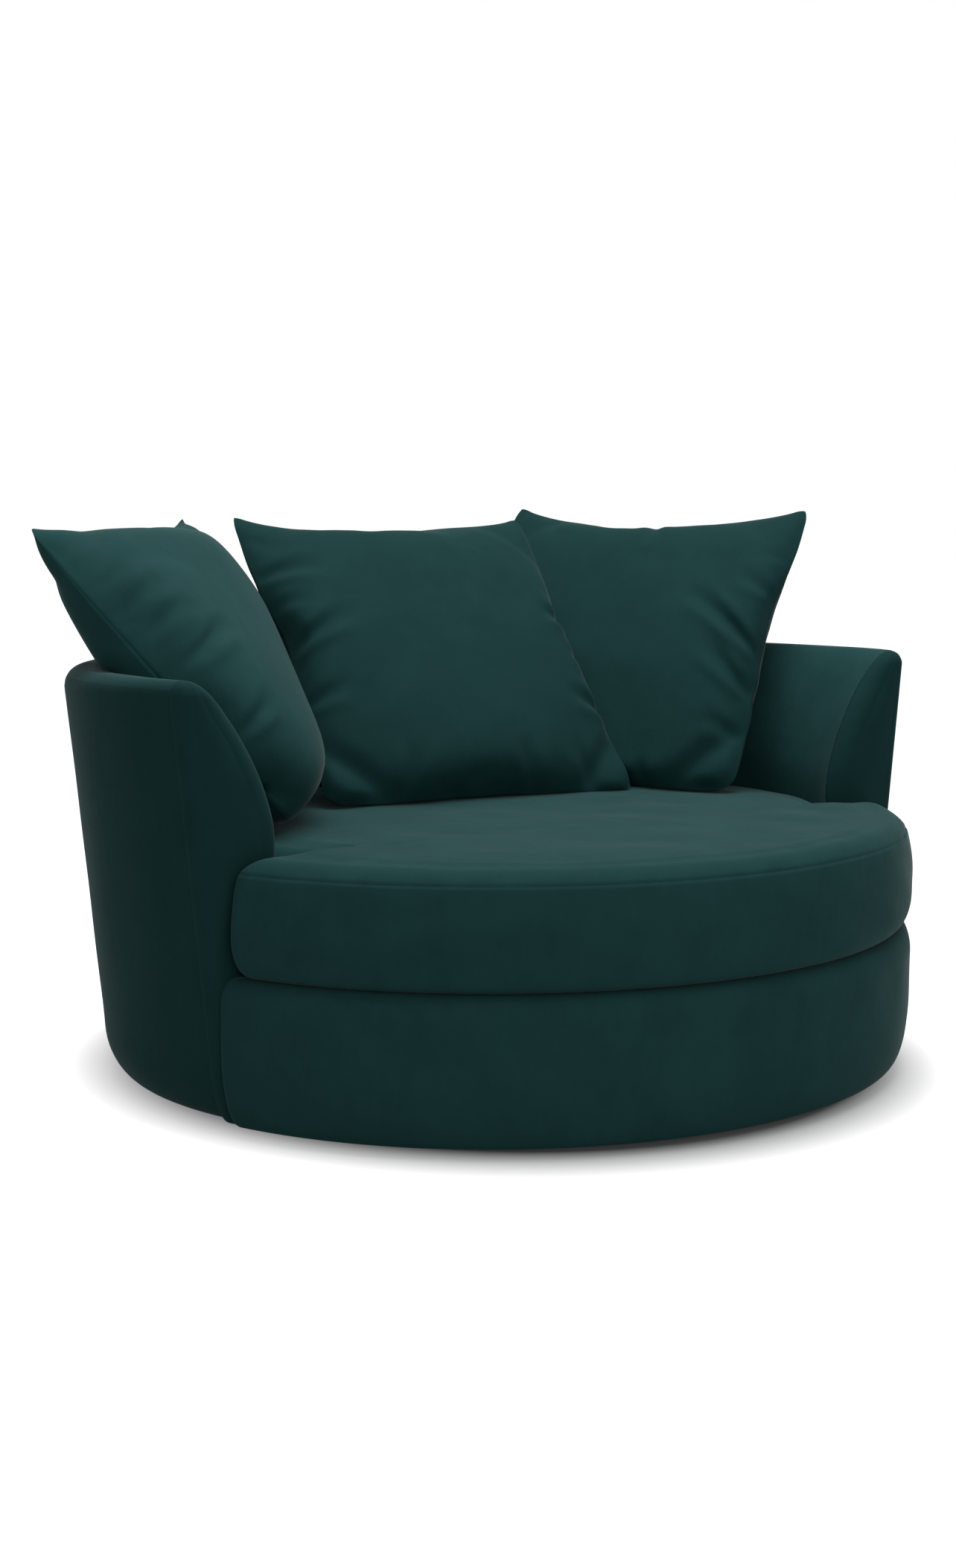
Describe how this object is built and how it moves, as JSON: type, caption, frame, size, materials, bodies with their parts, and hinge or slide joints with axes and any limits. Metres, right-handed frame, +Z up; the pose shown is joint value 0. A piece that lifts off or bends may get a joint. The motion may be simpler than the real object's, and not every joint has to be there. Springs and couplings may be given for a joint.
{
  "type": "swivel cuddle chair",
  "caption": "Round upholstered tub chair on a hidden ball-bearing swivel base, with a flared wall, a loose eared seat cushion and loose square back cushions.",
  "frame": {"origin": "on the floor, on the axis of the turntable", "axes": "+Z up, the chair faces -Y, +X is on the right of a person who looks at its front"},
  "size_m": [1.4721, 1.2823, 0.8798],
  "materials": {
    "velvet": "dark teal velvet with a short pile",
    "lining": "plain dark lining cloth",
    "plywood": "raw plywood",
    "beech": "raw planed beech",
    "steel": "zinc plated",
    "glide_nylon": "moulded nylon",
    "zip_nylon": "woven tape with nylon teeth"
  },
  "bodies": {
    "floor_base": {"floor_board": "plywood", "lower_race": "steel", "glide_1": "glide_nylon", "glide_2": "glide_nylon", "glide_3": "glide_nylon", "glide_4": "glide_nylon", "glide_5": "glide_nylon", "glide_6": "glide_nylon", "lower_race_screw_1": "steel", "lower_race_screw_2": "steel", "lower_race_screw_3": "steel", "lower_race_screw_4": "steel"},
    "ball_cage": {"ball_cage": "steel"},
    "chair": {"outside_cover": "velvet", "inside_cover": "velvet", "arm_front_left": "velvet", "arm_front_right": "velvet", "front_base_panel": "velvet", "deck_cover": "lining", "dust_cover": "lining", "swivel_board": "plywood", "bottom_frame": "plywood", "seat_frame": "plywood", "front_rail": "plywood", "top_rail": "plywood", "arm_board_left": "plywood", "arm_board_right": "plywood", "wall_rib_1": "plywood", "wall_rib_2": "plywood", "wall_rib_3": "plywood", "wall_rib_4": "plywood", "wall_rib_5": "plywood", "wall_rib_6": "plywood", "wall_rib_7": "plywood", "wall_rib_8": "plywood", "wall_rib_9": "plywood", "cross_rail_side": "beech", "cross_rail_long": "beech", "upper_race": "steel", "upper_race_screw_1": "steel", "upper_race_screw_2": "steel", "upper_race_screw_3": "steel", "upper_race_screw_4": "steel", "seat_spring_1": "steel", "seat_spring_2": "steel", "seat_spring_3": "steel", "seat_spring_4": "steel", "seat_spring_5": "steel"},
    "seat_cushion": {"seat_cushion": "velvet", "seat_cushion_zip": "zip_nylon"},
    "back_cushion_left": {"back_cushion_left": "velvet"},
    "back_cushion_middle": {"back_cushion_middle": "velvet"},
    "back_cushion_right": {"back_cushion_right": "velvet"}
  },
  "joints": [
    {"name": "swivel", "type": "hinge", "parent": "floor_base", "child": "chair", "pos_m": [0, 0, 0.03065], "axis": [0, 0, 1], "continuous": true},
    {"name": "ball_cage_turn", "type": "hinge", "parent": "floor_base", "child": "ball_cage", "pos_m": [0, 0, 0.03065], "axis": [0, 0, 1], "continuous": true},
    {"name": "seat_cushion_lift", "type": "slide", "parent": "chair", "child": "seat_cushion", "axis": [0, 0, 1], "range_m": [0, 0.2]},
    {"name": "back_cushion_left_lift", "type": "slide", "parent": "seat_cushion", "child": "back_cushion_left", "axis": [-0.4, 0.3, 0.866], "range_m": [0, 0.25]},
    {"name": "back_cushion_middle_lift", "type": "slide", "parent": "seat_cushion", "child": "back_cushion_middle", "axis": [0, 0, 1], "range_m": [0, 0.25]},
    {"name": "back_cushion_right_lift", "type": "slide", "parent": "seat_cushion", "child": "back_cushion_right", "axis": [0.4501, 0.24, 0.8601], "range_m": [0, 0.25]}
  ],
  "couplings": [
    {"joint": "ball_cage_turn", "follows": "swivel", "ratio": 0.5}
  ]
}
